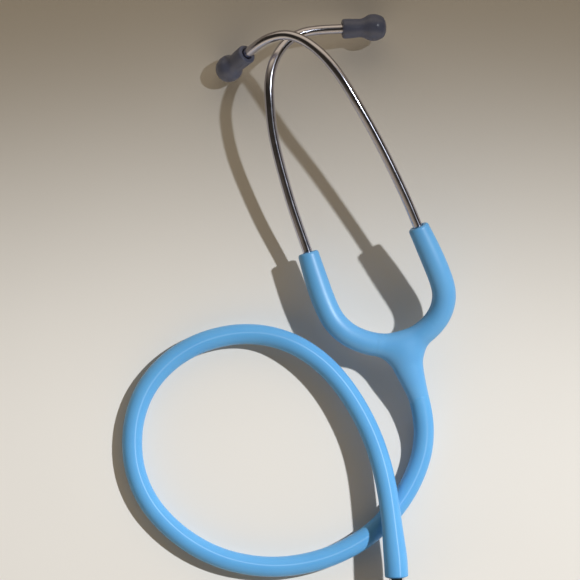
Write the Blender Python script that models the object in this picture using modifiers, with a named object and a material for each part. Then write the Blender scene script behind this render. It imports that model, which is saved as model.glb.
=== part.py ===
"""Acoustic stethoscope laid down on a bench, in metres with +Z up.

A U-shaped yoke with a sprung leaf inside holds two crossed ear tubes with soft tips.  One hose runs
from the yoke's neck round a loop, over itself and into the stem of a two-sided chestpiece, which
lies on its bell with the diaphragm up.  The origin is at the bottom centre of everything but the hose.
"""

import math

import bmesh
import bpy
import numpy as np
from mathutils import Matrix, Vector

MM = 0.001

# ---------------------------------------------------------------- driving dimensions, in millimetres
GAP = 0.3  # clearance between touching pieces
SLIDE_GAP = 0.4  # clearance where a soft tip turns on the ear tube

HOSE_RADIUS = 4.75
CUFF_LENGTH = 14.0  # last stretch of hose, stretched over the stem's barb
CUFF_SWELL = 0.75
NECK_LENGTH = 29.0  # from the middle of the yoke to where the hose starts
NECK_ROOT_RADIUS = 6.4
NECK_BORE_RADIUS = 2.6

YOKE_RADIUS = 5.5
RIM_RADIUS = 4.85
PIVOT_DISTANCE = 26.0  # along the yoke, from its middle to each flexing point
LIP = 2.8  # how far past the flexing point an arm's cup starts
DOME_STEP = 0.15
GRIP_LENGTH = 9.0  # narrow stretch of an arm that grips the ear tube

LEAF_WIDTH = 6.0
LEAF_THICKNESS = 0.8
BRIDGE_REACH = 3.4  # how far the bridge's leaf runs past the flexing point, inside the dome
LEAF_START = YOKE_RADIUS + 0.8  # where an arm's own leaf starts, clear of the dome

TUBE_RADIUS = 2.25
TUBE_BORE_RADIUS = 1.3
TUBE_INSERT = 18.0  # length of ear tube inside the arm
FERRULE_LENGTH = 6.0
FERRULE_WALL = 0.6
LUMEN_CLEARANCE = 0.5  # room round the straight ferrule in the arm's bent lumen
LUMEN_RADIUS = TUBE_RADIUS + GAP + FERRULE_WALL + LUMEN_CLEARANCE

TIP_LENGTH = 20.6
TIP_NECK_RADIUS = 4.6
TIP_BULB_RADIUS = 6.15
TIP_HOLE_RADIUS = 1.3
TIP_SOCKET_DEPTH = 8.8
NIPPLE_WALL = 0.8
TUBE_IN_TIP = 7.2

STEM_HEIGHT = 16.5
STEM_RADIUS = 3.5
STEM_VISIBLE = 12.0
STEM_BORE_RADIUS = 1.3
SPINDLE_RADIUS = 2.7
SPINDLE_TAIL = 5.6
BARB_RADIUS = 3.0
BARB_LENGTH = 11.0
BOSS_REACH = 13.0  # chestpiece axis to the face of the stem boss
BOSS_RADIUS = 5.4
WAIST_RADIUS = 9.2

DRUM_RADIUS = 21.1  # edge of the diaphragm side
DRUM_TOP = 26.4
DRUM_EDGE = 2.8
BELL_RADIUS = 15.4
BELL_THROAT_RADIUS = 2.2
BELL_DEPTH = 9.5
DIAPHRAGM_THICKNESS = 0.4
RIM_WALL = 0.7
SLEEVE_WALL = 1.0
SOUND_HOLE_RADIUS = 1.2

RIGHT_LEAN = 55.0  # lean of the right arm's flexing axis from straight down, in degrees
RIGHT_HEADING = 39.3  # which way it leans, in degrees from +X

# ------------------------------------------------------------------ layout on the bench, in millimetres
LAYOUT_ORIGIN = (20.838, -26.099, 0.0)  # this point of the layout is the part's origin
YOKE_ROUTE = [
    (8.3, 17.5, 15.3), (11.7, 6.5, 14.7), (15.6, -4.7, 14.3), (20.3, -14.2, 14.3),
    (27.1, -20.7, 14.5), (35.4, -24.4, 14.8), (43.8, -25.8, 15.0), (50.8, -25.2, 15.1),
    (57.8, -22.6, 15.6), (64.2, -18.1, 16.8), (69.0, -12.1, 18.6), (71.2, -5.6, 20.6),
    (71.0, 0.9, 22.6), (68.1, 9.2, 25.0), (63.6, 19.3, 27.3), (58.8, 29.3, 29.5),
]
YOKE_MIDDLE = 0.529  # share of the yoke's length, from the left rim, where the neck leaves it
HOSE_ROUTE = [
    (56.2, -35.0, 14.3), (58.6, -44.5, 12.5), (61.0, -53.3, 10.2), (62.5, -61.5, 8.1), (62.8, -69.3, 6.3),
    (61.8, -77.3, 5.2), (58.8, -86.6, 4.8), (54.1, -95.8, 4.8), (48.0, -104.4, 4.8), (40.3, -112.6, 4.8),
    (30.9, -119.4, 4.8), (19.8, -124.9, 4.8), (7.3, -128.6, 4.8), (-6.6, -130.2, 4.8), (-20.7, -129.1, 4.8),
    (-34.3, -125.4, 4.8), (-46.9, -118.9, 4.8), (-58.0, -110.0, 4.8), (-66.8, -99.2, 4.8),
    (-72.4, -86.4, 4.8), (-74.3, -72.7, 4.8), (-72.7, -58.8, 4.8), (-67.2, -45.6, 4.8), (-57.4, -34.2, 4.8),
    (-44.6, -26.0, 4.8), (-31.4, -21.8, 4.8), (-19.3, -20.7, 5.1), (-7.6, -22.2, 6.4), (4.0, -26.6, 8.3),
    (14.8, -34.0, 9.4), (24.0, -43.7, 10.1), (31.6, -55.0, 10.8), (37.8, -67.3, 11.6), (42.2, -79.9, 12.8),
    (45.0, -92.0, 14.2), (46.9, -104.4, 15.2), (48.2, -116.0, 16.0), (49.2, -126.0, 16.5), (49.6, -133.6, 16.5),
]
LEFT_TUBE_ROUTE = [
    (0.0, 41.7, 20.0), (-7.3, 69.2, 24.6), (-9.5, 88.5, 27.0), (-9.3, 97.8, 26.2), (-7.6, 105.2, 24.4),
    (-4.5, 111.3, 21.4), (0.1, 116.5, 18.2), (6.2, 119.9, 15.4), (14.4, 121.4, 13.2), (24.4, 122.0, 12.0),
]
RIGHT_TUBE_ROUTE = [
    (53.3, 41.8, 32.4), (45.8, 57.2, 35.6), (38.7, 70.7, 38.3), (30.3, 85.2, 41.0), (22.9, 97.1, 41.8),
    (15.9, 105.9, 40.6), (9.2, 112.0, 38.2), (2.8, 115.6, 36.0), (-2.8, 116.9, 33.4), (-9.2, 115.9, 29.6),
    (-14.5, 113.5, 25.0), (-19.9, 109.8, 18.3),
]

# --------------------------------------------------------------------------------- colours and finishes
BLUE_VINYL = ((0.12, 0.38, 0.74), 0.35, 0.0)
STEEL = ((0.72, 0.72, 0.72), 0.16, 1.0)
CHROME = ((0.80, 0.80, 0.81), 0.08, 1.0)
SPRING_STEEL = ((0.40, 0.41, 0.43), 0.35, 1.0)
SLATE_SILICONE = ((0.085, 0.09, 0.135), 0.45, 0.0)
BLACK_RUBBER = ((0.02, 0.02, 0.02), 0.6, 0.0)
CLEAR_DISC = ((0.70, 0.72, 0.72), 0.3, 0.0)
GREY_RUBBER = ((0.10, 0.11, 0.13), 0.55, 0.0)


def clear_scene():
    for obj in list(bpy.data.objects):
        bpy.data.objects.remove(obj)


def new_collection(name):
    collection = bpy.data.collections.new(name)
    bpy.context.scene.collection.children.link(collection)
    return collection


def finish_material(obj, finish):
    colour, roughness, metallic = finish
    material = bpy.data.materials.new(obj.name)
    material.use_nodes = True
    shader = material.node_tree.nodes["Principled BSDF"]
    shader.inputs["Base Color"].default_value = (*colour, 1.0)
    shader.inputs["Roughness"].default_value = roughness
    shader.inputs["Metallic"].default_value = metallic
    obj.data.materials.clear()
    obj.data.materials.append(material)


def as_part(obj, name, finish):
    obj.name = name
    obj.data.name = name
    PARTS.objects.link(obj)
    finish_material(obj, finish)
    return obj


def as_cutter(obj, name):
    obj.name = name
    obj.hide_render = True
    obj.display_type = "WIRE"
    CUTTERS.objects.link(obj)
    return obj


def boolean(obj, other, operation):
    modifier = obj.modifiers.new(f"{operation.lower()}_{other.name}", "BOOLEAN")
    modifier.operation = operation
    modifier.object = other
    modifier.solver = "EXACT"


def layout(points):
    """Layout millimetres to the part's frame in metres."""
    return (np.array(points, float) - np.array(LAYOUT_ORIGIN)) * MM


# ------------------------------------------------------------------------------------ smooth centre lines
def smooth_path(points, samples=24):
    """Catmull-Rom curve through the points, as a dense array."""
    ends = np.vstack([2 * points[0] - points[1], points, 2 * points[-1] - points[-2]])
    t = np.linspace(0.0, 1.0, samples, endpoint=False)[:, None]
    runs = []
    for p0, p1, p2, p3 in zip(ends, ends[1:], ends[2:], ends[3:]):
        runs.append(
            0.5 * (2 * p1 + (p2 - p0) * t + (2 * p0 - 5 * p1 + 4 * p2 - p3) * t**2
                   + (3 * p1 - p0 - 3 * p2 + p3) * t**3)
        )
    return np.vstack(runs + [points[-1:]])


def distances(path):
    """Distance along the path to each of its points."""
    return np.concatenate([[0.0], np.cumsum(np.linalg.norm(np.diff(path, axis=0), axis=1))])


def at(path, where):
    """Points of the path at these distances along it."""
    along = distances(path)
    return np.stack([np.interp(where, along, path[:, axis]) for axis in range(3)], axis=-1)


def stretch(path, start, end, count):
    """Evenly spaced points of the path from one distance along it to another."""
    return at(path, np.linspace(start, end, count))


def direction_at(path, where, reach=0.5 * MM):
    step = at(path, where + reach) - at(path, where - reach)
    return Vector(step).normalized()


def frame_on(origin, along, up=(0.0, 0.0, 1.0)):
    """Matrix whose Z runs along the given direction, with its X as near to up as it can be."""
    z_axis = Vector(along).normalized()
    x_axis = (Vector(up) - z_axis * z_axis.dot(Vector(up))).normalized()
    y_axis = z_axis.cross(x_axis)
    rotation = Matrix((x_axis, y_axis, z_axis)).transposed().to_4x4()
    return Matrix.Translation(Vector(origin)) @ rotation


# -------------------------------------------------------------------------------------- shape makers
def tube_curve(name, points, radii, bevel_resolution):
    """A round bar on a poly curve; radii is one radius or one per point."""
    radii = np.broadcast_to(radii, len(points))
    curve = bpy.data.curves.new(name, "CURVE")
    curve.dimensions = "3D"
    curve.bevel_depth = float(radii.max())
    curve.bevel_resolution = bevel_resolution
    curve.use_fill_caps = True
    spline = curve.splines.new("POLY")
    spline.points.add(len(points) - 1)
    for knot, point, radius in zip(spline.points, points, radii):
        knot.co = (*point, 1.0)
        knot.radius = float(radius / radii.max())
    return bpy.data.objects.new(name, curve)


def tube_mesh(name, points, radii, bevel_resolution=4):
    """The same bar as a closed mesh, so that it can be cut."""
    curve_object = tube_curve(name + "_curve", points, radii, bevel_resolution)
    bpy.context.scene.collection.objects.link(curve_object)
    graph = bpy.context.evaluated_depsgraph_get()
    mesh = bpy.data.meshes.new_from_object(curve_object.evaluated_get(graph))
    cage = bmesh.new()
    cage.from_mesh(mesh)
    bmesh.ops.remove_doubles(cage, verts=cage.verts, dist=0.001 * MM)
    bmesh.ops.recalc_face_normals(cage, faces=cage.faces)
    cage.to_mesh(mesh)
    cage.free()
    mesh.shade_smooth()
    mesh.set_sharp_from_angle(angle=math.radians(40))
    obj = bpy.data.objects.new(name, mesh)
    obj.matrix_world = curve_object.matrix_world
    bpy.data.objects.remove(curve_object)
    return obj


def ball(name, centre, radius, segments=32):
    mesh = bpy.data.meshes.new(name)
    cage = bmesh.new()
    bmesh.ops.create_uvsphere(cage, u_segments=segments, v_segments=segments // 2, radius=radius)
    cage.to_mesh(mesh)
    cage.free()
    mesh.shade_smooth()
    obj = bpy.data.objects.new(name, mesh)
    obj.matrix_world = Matrix.Translation(Vector(centre))
    return obj


def rod(name, matrix, radius, low, high, segments=24):
    """A cylinder along the matrix's Z, from low to high."""
    mesh = bpy.data.meshes.new(name)
    cage = bmesh.new()
    middle = Matrix.Translation((0.0, 0.0, (low + high) / 2))
    bmesh.ops.create_cone(
        cage, cap_ends=True, segments=segments, radius1=radius, radius2=radius, depth=high - low, matrix=middle
    )
    cage.to_mesh(mesh)
    cage.free()
    obj = bpy.data.objects.new(name, mesh)
    obj.matrix_world = matrix
    return obj


def turned(name, profile, matrix, steps=32, closed=False):
    """A lathe shape about the matrix's Z from (radius, height) points in millimetres, outer side downwards."""
    mesh = bpy.data.meshes.new(name)
    corners = [(radius * MM, 0.0, height * MM) for radius, height in profile]
    edges = [(i, i + 1) for i in range(len(corners) - 1)]
    if closed:
        edges.append((len(corners) - 1, 0))
    mesh.from_pydata(corners, edges, [])
    obj = bpy.data.objects.new(name, mesh)
    screw = obj.modifiers.new("turn", "SCREW")
    screw.axis = "Z"
    screw.steps = steps
    screw.render_steps = steps
    screw.use_merge_vertices = True
    screw.merge_threshold = 0.00001
    screw.use_smooth_shade = True
    obj.matrix_world = matrix
    return obj


def leaf(name, points, normal, finish):
    """A flat spring leaf along the points, its width across the yoke's plane."""
    normal = np.array(normal)
    tangents = np.gradient(points, axis=0)
    tangents /= np.linalg.norm(tangents, axis=1)[:, None]
    across = normal - (tangents @ normal)[:, None] * tangents
    across *= LEAF_WIDTH * MM / 2 / np.linalg.norm(across, axis=1)[:, None]
    count = len(points)
    mesh = bpy.data.meshes.new(name)
    rails = np.vstack([points - across, points + across])
    quads = [(i, i + 1, count + i + 1, count + i) for i in range(count - 1)]
    mesh.from_pydata(rails.tolist(), [], quads)
    obj = as_part(bpy.data.objects.new(name, mesh), name, finish)
    shell = obj.modifiers.new("thickness", "SOLIDIFY")
    shell.thickness = LEAF_THICKNESS * MM
    shell.offset = 0.0
    return obj


def ring_groove(name, matrix, radius, low, high):
    """A plain disc cutter that turns a groove into the wall of a bore."""
    return as_cutter(rod(name, matrix, radius * MM, low * MM, high * MM, 32), name)


def hang_on(pivot, objects):
    """Parents the objects to the empty without moving them."""
    bpy.context.view_layer.update()
    for obj in objects:
        obj.parent = pivot
        obj.matrix_parent_inverse = pivot.matrix_world.inverted()


def pivot_empty(name, matrix):
    empty = bpy.data.objects.new(name, None)
    empty.empty_display_size = 10 * MM
    empty.matrix_world = matrix
    PARTS.objects.link(empty)
    return empty


# ----------------------------------------------------------------------------------------- the yoke
def yoke_radius(where, total):
    """Wall radius along the yoke: thick round the bend and thinner towards each rim."""
    to_rim = np.minimum(where, total - where)
    share = np.clip(to_rim / (22.0 * MM), 0.0, 1.0)
    return (RIM_RADIUS + (YOKE_RADIUS - RIM_RADIUS) * np.sin(share * math.pi / 2)) * MM


def make_yoke_center():
    yoke = YOKE["path"]
    start, end = YOKE["left"], YOKE["right"]
    where = np.linspace(start, end, 26)
    body = tube_mesh("yoke_center", at(yoke, where), yoke_radius(where, YOKE["length"]))
    as_part(body, "yoke_center", BLUE_VINYL)
    dome = (YOKE_RADIUS - DOME_STEP) * MM
    for side in ("left", "right"):
        other = as_cutter(ball(side + "_dome", at(yoke, YOKE[side]), dome), side + "_dome")
        boolean(body, other, "UNION")
    points = stretch(HOSE["path"], 0.0, NECK_LENGTH * MM, 12)
    share = np.linspace(1.0, 0.0, 12) ** 2
    radii = (HOSE_RADIUS + (NECK_ROOT_RADIUS - HOSE_RADIUS) * share) * MM
    neck = as_cutter(tube_mesh("neck", points, radii), "neck")
    boolean(body, neck, "UNION")
    reach = 9.0 * MM
    points = stretch(yoke, start - reach, end + reach, 34)
    lumen = as_cutter(tube_mesh("yoke_lumen", points, LUMEN_RADIUS * MM), "yoke_lumen")
    boolean(body, lumen, "DIFFERENCE")
    points = stretch(HOSE["path"], 0.0, (NECK_LENGTH + 4.0) * MM, 12)
    bore = as_cutter(tube_mesh("neck_bore", points, NECK_BORE_RADIUS * MM), "neck_bore")
    boolean(body, bore, "DIFFERENCE")
    return body


def make_arm(side, sign, rim, tube_path):
    """One arm of the yoke: a cup on the flexing point, the lumen, and a narrow grip for the ear tube."""
    yoke = YOKE["path"]
    pivot = YOKE[side]
    start = pivot + sign * LIP * MM
    where = np.linspace(start, rim, 18)
    arm = tube_mesh(side + "_arm", at(yoke, where), yoke_radius(where, YOKE["length"]))
    as_part(arm, side + "_arm", BLUE_VINYL)
    cup = ball(side + "_cup", at(yoke, pivot), (YOKE_RADIUS - DOME_STEP + GAP) * MM)
    boolean(arm, as_cutter(cup, side + "_cup"), "DIFFERENCE")
    grip = rim - sign * GRIP_LENGTH * MM
    points = stretch(yoke, pivot, grip, 14)
    lumen = as_cutter(tube_mesh(side + "_arm_lumen", points, LUMEN_RADIUS * MM), side + "_arm_lumen")
    boolean(arm, lumen, "DIFFERENCE")
    low = (TUBE_INSERT - GRIP_LENGTH - 1.0) * MM
    bore_points = stretch(tube_path, low, (TUBE_INSERT + 3.0) * MM, 10)
    bore = tube_mesh(side + "_grip_bore", bore_points, (TUBE_RADIUS + GAP) * MM)
    boolean(arm, as_cutter(bore, side + "_grip_bore"), "DIFFERENCE")
    leaf_end = rim - sign * (TUBE_INSERT + 1.0) * MM
    points = stretch(yoke, pivot + sign * LEAF_START * MM, leaf_end, 8)
    strip = leaf(side + "_spring_leaf", points, YOKE["normal"], SPRING_STEEL)
    return [arm, strip]


def open_axis(side):
    """Axis an arm opens about.  The right arm's leans, so that its tube lifts over the left arm's."""
    if side == "left":
        return Vector((0.0, 0.0, 1.0))
    lean, heading = math.radians(RIGHT_LEAN), math.radians(RIGHT_HEADING)
    return Vector((math.sin(lean) * math.cos(heading), math.sin(lean) * math.sin(heading), -math.cos(lean)))


def make_spring_bridge():
    reach = BRIDGE_REACH * MM
    points = stretch(YOKE["path"], YOKE["left"] - reach, YOKE["right"] + reach, 24)
    return leaf("spring_bridge", points, YOKE["normal"], SPRING_STEEL)


# ------------------------------------------------------------------------------------- the ear tubes
def ear_tube_path(rim, sign, route):
    """From inside the arm, out through its rim, and straight into the soft tip."""
    inserts = np.array([rim - sign * TUBE_INSERT * MM, rim - sign * TUBE_INSERT * 0.5 * MM, rim])
    outside = layout(route)
    last = outside[-1] - outside[-2]
    last /= np.linalg.norm(last)
    straight = outside[-1] + last * TUBE_IN_TIP * MM
    knots = np.vstack([at(YOKE["path"], inserts), outside, straight])
    return smooth_path(knots), outside[-1], last


def make_ear_tube(side, path, neck, along):
    length = distances(path)[-1]
    outer = tube_mesh(side + "_ear_tube", stretch(path, 0.0, length, 44), TUBE_RADIUS * MM, 3)
    tube = as_part(outer, side + "_ear_tube", STEEL)
    ends = stretch(path, 0.0, length, 44)
    ends[0] -= (ends[1] - ends[0]) * 0.5
    ends[-1] += (ends[-1] - ends[-2]) * 0.5
    bore = as_cutter(tube_mesh(side + "_tube_bore", ends, TUBE_BORE_RADIUS * MM, 2), side + "_tube_bore")
    boolean(tube, bore, "DIFFERENCE")
    ferrule = make_ferrule(side, path)
    matrix = frame_on(neck, along)
    nipple = make_nipple(side, matrix)
    tip = make_ear_tip(side, matrix)
    return [tube, ferrule, nipple], tip


def make_ferrule(side, path):
    """Barbed sleeve crimped on the tube's lower end, inside the arm."""
    inner = TUBE_RADIUS + GAP
    outer = inner + FERRULE_WALL
    low = 1.0
    high = low + FERRULE_LENGTH
    barb = outer - 0.35
    profile = [
        (inner, high), (barb, high), (outer, high - 1.6), (barb, high - 1.7), (outer, high - 3.3),
        (barb, high - 3.4), (outer, low + 0.6), (barb, low), (inner, low),
    ]
    middle = (low + high) / 2 * MM
    along = direction_at(path, middle, 2.0 * MM)
    matrix = frame_on(at(path, middle), along) @ Matrix.Translation((0.0, 0.0, -middle))
    return as_part(turned(side + "_tube_ferrule", profile, matrix, 16, True), side + "_tube_ferrule", STEEL)


def make_nipple(side, matrix):
    """Threaded sleeve on the tube's upper end, which the soft tip is screwed on to."""
    inner = TUBE_RADIUS + GAP
    outer = inner + NIPPLE_WALL
    low, high = 1.6, TIP_SOCKET_DEPTH - GAP
    stop = TUBE_IN_TIP + GAP
    profile = [(TUBE_BORE_RADIUS, high), (outer - 0.4, high)]
    crest = high - 0.6
    while crest > low + 0.8:
        profile += [(outer, crest), (outer - 0.35, crest - 0.8)]
        crest -= 1.6
    profile += [(outer, low + 0.3), (outer - 0.2, low), (inner, low), (inner, stop), (TUBE_BORE_RADIUS, stop)]
    return as_part(turned(side + "_tip_nipple", profile, matrix, 16, True), side + "_tip_nipple", STEEL)


def make_ear_tip(side, matrix):
    """Soft tip: a plain neck, a slight waist and a rounded bulb, with a socket for the nipple."""
    mouth = TUBE_RADIUS + SLIDE_GAP
    socket = TUBE_RADIUS + GAP + NIPPLE_WALL + SLIDE_GAP
    neck, bulb, length = TIP_NECK_RADIUS, TIP_BULB_RADIUS, TIP_LENGTH
    profile = [
        (TIP_HOLE_RADIUS, length - 0.5), (TIP_HOLE_RADIUS + 0.5, length - 0.1), (bulb * 0.45, length),
        (bulb * 0.66, length - 0.4), (bulb * 0.85, length - 1.4), (bulb * 0.96, length - 3.0),
        (bulb, length - 5.0), (bulb * 0.97, length - 7.0), (bulb * 0.88, length - 9.0),
        (neck, length - 11.2), (neck * 0.975, length - 13.0), (neck, 5.0), (neck * 0.99, 1.6),
        (neck * 0.93, 0.6), (neck * 0.82, 0.0), (mouth, 0.0), (mouth, 1.3), (socket, 1.3),
        (socket, TIP_SOCKET_DEPTH), (TIP_HOLE_RADIUS, TIP_SOCKET_DEPTH),
    ]
    return as_part(turned(side + "_ear_tip", profile, matrix, 24, True), side + "_ear_tip", SLATE_SILICONE)


# --------------------------------------------------------------------------------------------- the hose
def make_hose():
    path = HOSE["path"]
    start = (NECK_LENGTH + GAP) * MM
    end = HOSE["length"] - (CUFF_LENGTH + GAP) * MM
    close = 2.5 * MM  # the first and last steps are short, so that both end faces lie square
    count = 2 + round((end - start) / (11.0 * MM))
    where = np.concatenate([[start], np.linspace(start + close, end - close, count), [end]])
    hose = tube_curve("hose", at(path, where), HOSE_RADIUS * MM, 3)
    return as_part(hose, "hose", BLUE_VINYL)


def make_hose_cuff():
    """The hose's last stretch, bored for the stem's barb and swollen over it."""
    path = HOSE["path"]
    start = HOSE["length"] - CUFF_LENGTH * MM
    where = np.linspace(start, HOSE["length"], 12)
    share = np.linspace(0.0, 1.0, 12)
    swell = np.sin(math.pi * np.clip(share * 1.15, 0.0, 1.0)) ** 2
    radii = (HOSE_RADIUS + CUFF_SWELL * swell) * MM
    cuff = as_part(tube_mesh("hose_cuff", at(path, where), radii, 3), "hose_cuff", BLUE_VINYL)
    matrix = STEM["matrix"]
    low = (STEM["hose_face"] - 1.0) * MM
    high = (STEM["hose_face"] + BARB_LENGTH + 1.5) * MM
    bore = as_cutter(rod("cuff_bore", matrix, (BARB_RADIUS + GAP) * MM, low, high), "cuff_bore")
    boolean(cuff, bore, "DIFFERENCE")
    through = rod("cuff_through", matrix, 1.8 * MM, low, (STEM["hose_face"] + CUFF_LENGTH + 4.0) * MM)
    boolean(cuff, as_cutter(through, "cuff_through"), "DIFFERENCE")
    return cuff


# --------------------------------------------------------------------------------------- the chestpiece
def stem_frame():
    """Where the stem and the chestpiece lie: the stem continues the hose's end, level with the bench."""
    end = HOSE["path"][-1]
    along = layout([HOSE_ROUTE[-1]])[0] - layout([HOSE_ROUTE[-2]])[0]
    along[2] = 0.0
    along /= np.linalg.norm(along)
    hose_face = BOSS_REACH + GAP + STEM_VISIBLE
    centre = end + along * (hose_face + GAP) * MM
    return {
        "matrix": frame_on(centre, -along),
        "foot": Matrix.Translation((centre[0], centre[1], centre[2] - STEM_HEIGHT * MM)),
        "hose_face": hose_face + GAP,
        "centre": centre,
    }


def make_stem():
    """Hollow stem: spindle in the chestpiece, collar, shank, and a barb that fills the hose cuff."""
    spindle, shank, barb = SPINDLE_RADIUS, STEM_RADIUS, BARB_RADIUS
    face = STEM["hose_face"]
    tip = face + BARB_LENGTH
    collar = BOSS_REACH + GAP
    groove = spindle - 0.85
    profile = [
        (0.0, tip), (STEM_BORE_RADIUS + 0.7, tip), (barb, tip - 2.2), (barb - 0.6, tip - 2.5), (barb, tip - 5.2),
        (barb - 0.6, tip - 5.5), (barb, tip - 8.4), (barb - 0.4, tip - 8.8), (barb - 0.4, face - GAP),
        (shank - 0.2, face - GAP), (shank, face - GAP - 0.2), (shank, collar + 2.2), (shank + 0.7, collar + 1.8),
        (shank + 0.7, collar + 0.3), (shank + 0.4, collar), (spindle, collar), (spindle, 11.3), (groove, 11.3),
        (groove, 9.7), (spindle, 9.7), (spindle, 7.8), (groove, 7.8), (groove, 6.4), (spindle, 6.4),
        (spindle, -SPINDLE_TAIL + 0.5), (spindle - 0.5, -SPINDLE_TAIL), (0.0, -SPINDLE_TAIL),
    ]
    stem = as_part(turned("stem", profile, STEM["matrix"], 24), "stem", CHROME)
    bore = rod("stem_bore", STEM["matrix"], STEM_BORE_RADIUS * MM, -1.6 * MM, (tip + 1.0) * MM, 20)
    boolean(stem, as_cutter(bore, "stem_bore"), "DIFFERENCE")
    upward = frame_on(STEM["centre"], (0.0, 0.0, 1.0), (1.0, 0.0, 0.0))
    port = rod("stem_port", upward, 1.0 * MM, 0.0, (spindle + 1.0) * MM, 16)
    boolean(stem, as_cutter(port, "stem_port"), "DIFFERENCE")
    pocket = rod("detent_pocket", detent_frame(), DETENT["pocket"] * MM, -1.5 * MM, (spindle + 1.0) * MM, 16)
    boolean(stem, as_cutter(pocket, "detent_pocket"), "DIFFERENCE")
    return stem


def detent_frame():
    """Points down from the spindle's axis, near its solid tail."""
    place = STEM["matrix"] @ Vector((0.0, 0.0, DETENT["along"] * MM))
    return frame_on(place, (0.0, 0.0, -1.0), (1.0, 0.0, 0.0))


def make_detent():
    matrix = detent_frame()
    centre = matrix @ Vector((0.0, 0.0, DETENT["ball_at"] * MM))
    steel_ball = as_part(ball("detent_ball", centre, DETENT["ball"] * MM, 16), "detent_ball", STEEL)
    turns, per_turn = 4, 10
    angle = np.linspace(0.0, 2 * math.pi * turns, turns * per_turn + 1)
    top = DETENT["ball_at"] - DETENT["ball"] - GAP
    height = np.linspace(-1.5 + GAP + DETENT["wire"], top, len(angle))
    local = np.stack([DETENT["coil"] * np.cos(angle), DETENT["coil"] * np.sin(angle), height], axis=1) * MM
    points = np.array([matrix @ Vector(p) for p in local])
    coil = as_part(tube_curve("detent_spring", points, DETENT["wire"] * MM, 1), "detent_spring", SPRING_STEEL)
    return [steel_ball, coil]


def make_stem_rings():
    """An O-ring that seals the spindle and a split wire ring that holds it in the chestpiece."""
    seal_at = STEM["matrix"] @ Matrix.Translation((0.0, 0.0, 10.5 * MM))
    seal = turned("stem_o_ring", ring_section(SPINDLE_RADIUS - 0.33, 0.33, 10), seal_at, 24, True)
    seal = as_part(seal, "stem_o_ring", BLACK_RUBBER)
    angle = np.radians(np.linspace(25.0, 335.0, 26))
    radius = SPINDLE_RADIUS + 0.02
    local = np.stack([radius * np.cos(angle), radius * np.sin(angle), np.full(len(angle), 7.1)], axis=1) * MM
    points = np.array([STEM["matrix"] @ Vector(p) for p in local])
    snap = as_part(tube_curve("stem_snap_ring", points, 0.36 * MM, 2), "stem_snap_ring", SPRING_STEEL)
    return [seal, snap]


def ring_section(radius, thickness, count):
    """Round section of a ring, running down its outer side."""
    angle = -np.arange(count) * 2 * math.pi / count
    return [(radius + thickness * math.cos(a), thickness * math.sin(a)) for a in angle]


def make_chestpiece_body():
    """One turned metal body: shallow drum above, waist, and bell below."""
    drum, top, edge = DRUM_RADIUS, DRUM_TOP, DRUM_EDGE
    bell, throat = BELL_RADIUS, BELL_THROAT_RADIUS
    lip = SLEEVE_WALL + GAP
    profile = [
        (0.0, top - 1.8), (drum * 0.5, top - 1.3), (drum - 1.9, top - 0.7), (drum - 1.6, top), (drum - 0.3, top),
        (drum, top - 0.3), (drum, top - edge), (drum - 1.6, top - edge - 0.5), (WAIST_RADIUS + 4.6, top - edge - 1.3),
        (WAIST_RADIUS + 1.4, top - edge - 2.4), (WAIST_RADIUS + 0.2, top - edge - 4.2), (WAIST_RADIUS, 15.0),
        (WAIST_RADIUS + 0.4, 11.6), (WAIST_RADIUS + 1.6, 9.0), (bell - 2.4, 6.2), (bell - 0.7, 4.6),
        (bell, 4.2), (bell, lip), (bell - 1.1, lip), (bell - 1.1, 2.3), (bell - 1.7, 3.2), (bell - 3.6, 4.6), (throat + 4.4, 6.8),
        (throat, BELL_DEPTH), (0.0, BELL_DEPTH),
    ]
    body = as_part(turned("chestpiece_body", profile, STEM["foot"], 40), "chestpiece_body", CHROME)
    boss = rod("stem_boss", STEM["matrix"], BOSS_RADIUS * MM, 5.0 * MM, BOSS_REACH * MM, 32)
    boolean(body, as_cutter(boss, "stem_boss"), "UNION")
    bore_end = -(SPINDLE_TAIL + GAP)
    bore = rod(
        "spindle_bore", STEM["matrix"], (SPINDLE_RADIUS + GAP) * MM, bore_end * MM, (BOSS_REACH + 1.0) * MM, 32
    )
    boolean(body, as_cutter(bore, "spindle_bore"), "DIFFERENCE")
    groove = ring_groove("snap_groove", STEM["matrix"], SPINDLE_RADIUS + 0.75, 6.3, 7.9)
    boolean(body, groove, "DIFFERENCE")
    holes = (
        ("bell_hole", BELL_THROAT_RADIUS - 0.6, BELL_DEPTH - 1.0, STEM_HEIGHT),
        ("drum_hole", SOUND_HOLE_RADIUS, STEM_HEIGHT, top + 1.0),
    )
    for name, radius, low, high in holes:
        hole = as_cutter(rod(name, STEM["foot"], radius * MM, low * MM, high * MM, 20), name)
        boolean(body, hole, "DIFFERENCE")
    down = detent_frame()
    for name, turn in (("lower_dimple", 0.0), ("upper_dimple", math.pi)):
        depth = DETENT["ball_at"] * MM
        about = Matrix.Rotation(turn, 4, "X")
        centre = down @ about @ Vector((0.0, 0.0, depth))
        dimple = as_cutter(ball(name, centre, (DETENT["ball"] + GAP) * MM, 16), name)
        boolean(body, dimple, "DIFFERENCE")
    return body


def make_diaphragm():
    radius = DRUM_RADIUS - 0.3
    low = DRUM_TOP + GAP
    high = low + DIAPHRAGM_THICKNESS
    profile = [(0.0, high), (radius, high), (radius, low), (0.0, low)]
    return as_part(turned("diaphragm", profile, STEM["foot"], 40), "diaphragm", CLEAR_DISC)


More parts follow.
